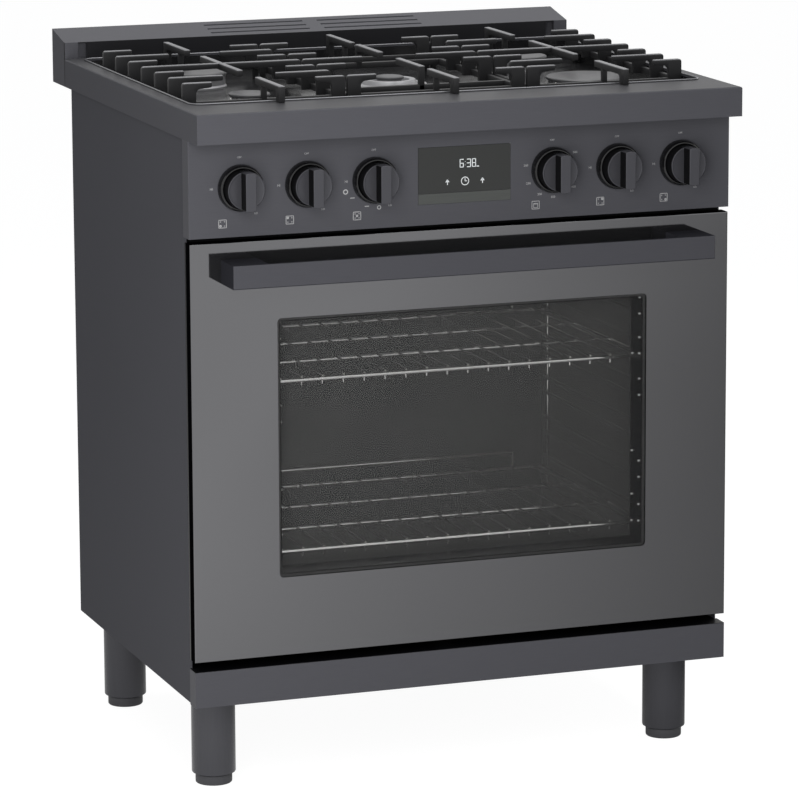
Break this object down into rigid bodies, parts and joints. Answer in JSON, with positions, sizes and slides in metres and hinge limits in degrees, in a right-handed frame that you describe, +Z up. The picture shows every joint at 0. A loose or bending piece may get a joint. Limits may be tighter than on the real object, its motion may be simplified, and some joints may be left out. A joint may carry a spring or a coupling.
{
  "type": "freestanding gas range",
  "caption": "Freestanding gas range on four legs, with cast-iron grates over the burners, a windowed oven door, control knobs and a low rear vent riser.",
  "frame": {"origin": "centre of the outline at floor level, under the four feet", "axes": "+Z up, front towards -Y, +X to the right of someone facing the front"},
  "size_m": [0.762, 0.7066, 0.96],
  "materials": {
    "black_steel": "dark stainless steel with a satin tinted coat",
    "gloss_black": "glossy black",
    "door_glass": "tinted oven glass",
    "enamel": "dark porcelain enamel, slightly speckled",
    "steel": "galvanised sheet",
    "cast_iron": "matt enamelled cast iron",
    "wire": "nickel plated wire",
    "burner_alloy": "die-cast aluminium, slightly heat stained",
    "cap_enamel": "satin enamelled burner caps",
    "brass": "turned brass",
    "pipe": "black steel pipe",
    "knob_black": "satin black moulding",
    "ceramic": "white glazed ceramic",
    "board": "circuit board",
    "gasket": "braided seal",
    "foot": "black moulded foot on a steel stud"
  },
  "bodies": {
    "range": {"side_panel_left": "black_steel", "side_panel_right": "black_steel", "kick_panel": "black_steel", "control_fascia": "black_steel", "cooktop_rim": "black_steel", "backguard": "black_steel", "leg_sleeves": "black_steel", "trim_strip": "black_steel", "rear_panel": "steel", "base_frame": "steel", "front_frame": "steel", "hinge_receivers": "steel", "bake_burner": "steel", "broil_burner": "steel", "oven_cavity": "enamel", "burner_pan": "enamel", "rack_guides": "wire", "door_gasket": "gasket", "oven_lamp": "door_glass", "display_glass": "gloss_black", "knob_bezels": "gloss_black", "display_board": "board", "gas_manifold": "pipe", "gas_inlet": "pipe", "gas_valves": "brass", "burner_head_front_left": "burner_alloy", "burner_head_rear_left": "burner_alloy", "burner_head_front_right": "burner_alloy", "burner_head_rear_right": "burner_alloy", "burner_head_centre": "burner_alloy", "burner_caps": "cap_enamel", "igniters": "ceramic"},
    "door": {"door_panel": "black_steel", "door_glass": "door_glass", "door_liner": "enamel", "inner_glass": "door_glass", "door_handle": "black_steel", "hinge_cassettes": "steel"},
    "tap_1": {"valve_stem_1": "wire"},
    "dial_1": {"knob_1": "knob_black"},
    "tap_2": {"valve_stem_2": "wire"},
    "dial_2": {"knob_2": "knob_black"},
    "tap_3": {"valve_stem_3": "wire"},
    "dial_3": {"knob_3": "knob_black"},
    "tap_4": {"valve_stem_4": "wire"},
    "dial_4": {"knob_4": "knob_black"},
    "tap_5": {"valve_stem_5": "wire"},
    "dial_5": {"knob_5": "knob_black"},
    "tap_6": {"valve_stem_6": "wire"},
    "dial_6": {"knob_6": "knob_black"},
    "grate_left": {"grate_left": "cast_iron"},
    "grate_centre": {"grate_centre": "cast_iron"},
    "grate_right": {"grate_right": "cast_iron"},
    "rack_lower": {"oven_rack_lower": "wire"},
    "rack_upper": {"oven_rack_upper": "wire"},
    "foot_front_left": {"foot_front_left": "foot"},
    "foot_rear_left": {"foot_rear_left": "foot"},
    "foot_front_right": {"foot_front_right": "foot"},
    "foot_rear_right": {"foot_rear_right": "foot"}
  },
  "joints": [
    {"name": "door_hinge", "type": "hinge", "parent": "range", "child": "door", "pos_m": [0, -0.2853, 0.1955], "axis": [1, 0, 0], "range_deg": [0, 88], "stiffness_Nm_per_rad": 20, "springref_deg": -20.05},
    {"name": "tap_1_push", "type": "slide", "parent": "range", "child": "tap_1", "axis": [0, 1, 0], "range_m": [0, 0.003], "stiffness_N_per_m": 300, "springref_m": -0.003},
    {"name": "dial_1_turn", "type": "hinge", "parent": "tap_1", "child": "dial_1", "pos_m": [-0.3104, -0.3313, 0.82], "axis": [0, -1, 0], "range_deg": [0, 210]},
    {"name": "tap_2_push", "type": "slide", "parent": "range", "child": "tap_2", "axis": [0, 1, 0], "range_m": [0, 0.003], "stiffness_N_per_m": 300, "springref_m": -0.003},
    {"name": "dial_2_turn", "type": "hinge", "parent": "tap_2", "child": "dial_2", "pos_m": [-0.2185, -0.3313, 0.82], "axis": [0, -1, 0], "range_deg": [0, 210]},
    {"name": "tap_3_push", "type": "slide", "parent": "range", "child": "tap_3", "axis": [0, 1, 0], "range_m": [0, 0.003], "stiffness_N_per_m": 300, "springref_m": -0.003},
    {"name": "dial_3_turn", "type": "hinge", "parent": "tap_3", "child": "dial_3", "pos_m": [-0.1257, -0.3313, 0.82], "axis": [0, -1, 0], "range_deg": [0, 210]},
    {"name": "tap_4_push", "type": "slide", "parent": "range", "child": "tap_4", "axis": [0, 1, 0], "range_m": [0, 0.003], "stiffness_N_per_m": 300, "springref_m": -0.003},
    {"name": "dial_4_turn", "type": "hinge", "parent": "tap_4", "child": "dial_4", "pos_m": [0.1257, -0.3313, 0.82], "axis": [0, -1, 0], "range_deg": [0, 300]},
    {"name": "tap_5_push", "type": "slide", "parent": "range", "child": "tap_5", "axis": [0, 1, 0], "range_m": [0, 0.003], "stiffness_N_per_m": 300, "springref_m": -0.003},
    {"name": "dial_5_turn", "type": "hinge", "parent": "tap_5", "child": "dial_5", "pos_m": [0.2185, -0.3313, 0.82], "axis": [0, -1, 0], "range_deg": [0, 210]},
    {"name": "tap_6_push", "type": "slide", "parent": "range", "child": "tap_6", "axis": [0, 1, 0], "range_m": [0, 0.003], "stiffness_N_per_m": 300, "springref_m": -0.003},
    {"name": "dial_6_turn", "type": "hinge", "parent": "tap_6", "child": "dial_6", "pos_m": [0.3104, -0.3313, 0.82], "axis": [0, -1, 0], "range_deg": [0, 210]},
    {"name": "grate_left_lift", "type": "slide", "parent": "range", "child": "grate_left", "axis": [0, 0, 1], "range_m": [0, 0.05]},
    {"name": "grate_centre_lift", "type": "slide", "parent": "range", "child": "grate_centre", "axis": [0, 0, 1], "range_m": [0, 0.05]},
    {"name": "grate_right_lift", "type": "slide", "parent": "range", "child": "grate_right", "axis": [0, 0, 1], "range_m": [0, 0.05]},
    {"name": "rack_lower_slide", "type": "slide", "parent": "range", "child": "rack_lower", "axis": [0, -1, 0], "range_m": [0, 0.014]},
    {"name": "rack_upper_slide", "type": "slide", "parent": "range", "child": "rack_upper", "axis": [0, -1, 0], "range_m": [0, 0.014]},
    {"name": "foot_front_left_screw", "type": "slide", "parent": "range", "child": "foot_front_left", "axis": [0, 0, 1], "range_m": [-0.02, 0]},
    {"name": "foot_rear_left_screw", "type": "slide", "parent": "range", "child": "foot_rear_left", "axis": [0, 0, 1], "range_m": [-0.02, 0]},
    {"name": "foot_front_right_screw", "type": "slide", "parent": "range", "child": "foot_front_right", "axis": [0, 0, 1], "range_m": [-0.02, 0]},
    {"name": "foot_rear_right_screw", "type": "slide", "parent": "range", "child": "foot_rear_right", "axis": [0, 0, 1], "range_m": [-0.02, 0]}
  ]
}
